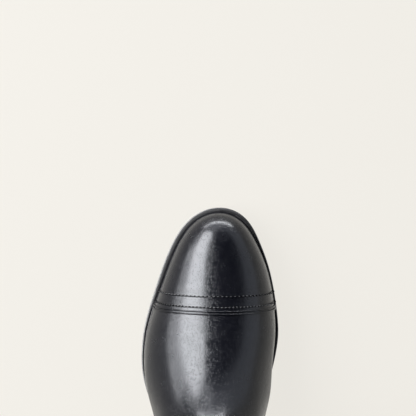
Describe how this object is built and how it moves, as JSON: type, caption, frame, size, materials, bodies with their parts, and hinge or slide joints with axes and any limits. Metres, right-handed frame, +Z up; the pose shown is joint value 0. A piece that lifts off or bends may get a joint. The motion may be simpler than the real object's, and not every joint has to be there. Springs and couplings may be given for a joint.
{
  "type": "riding boot",
  "caption": "Tall black dress riding boot for the left foot: plain pull-on shaft, smooth vamp, straight toe cap with raised piping, low heel",
  "frame": {"origin": "centre of the bounding box, on the floor that the sole stands on", "axes": "+Z up the shaft, -Y towards the toe, +X towards the outer side of the left foot"},
  "size_m": [0.1132, 0.2825, 0.478],
  "materials": {
    "upper_leather": "smooth black calf leather, waxed and softly polished",
    "cap_leather": "smooth black calf leather with fine grain, polished",
    "welt_edge": "dressed black welt strip, satin",
    "sole_rubber": "black rubber, satin",
    "heel_stack": "black stacked heel, edge dressed and waxed",
    "sock_leather": "dark sock leather, matt"
  },
  "bodies": {
    "root": {"upper": "upper_leather", "toe_cap": "cap_leather", "cap_bead_1": "cap_leather", "cap_bead_2": "cap_leather", "back_strip": "upper_leather", "welt": "welt_edge", "outsole": "sole_rubber", "heel_block": "heel_stack", "heel_top_piece": "sole_rubber", "insole": "sock_leather"}
  },
  "joints": []
}
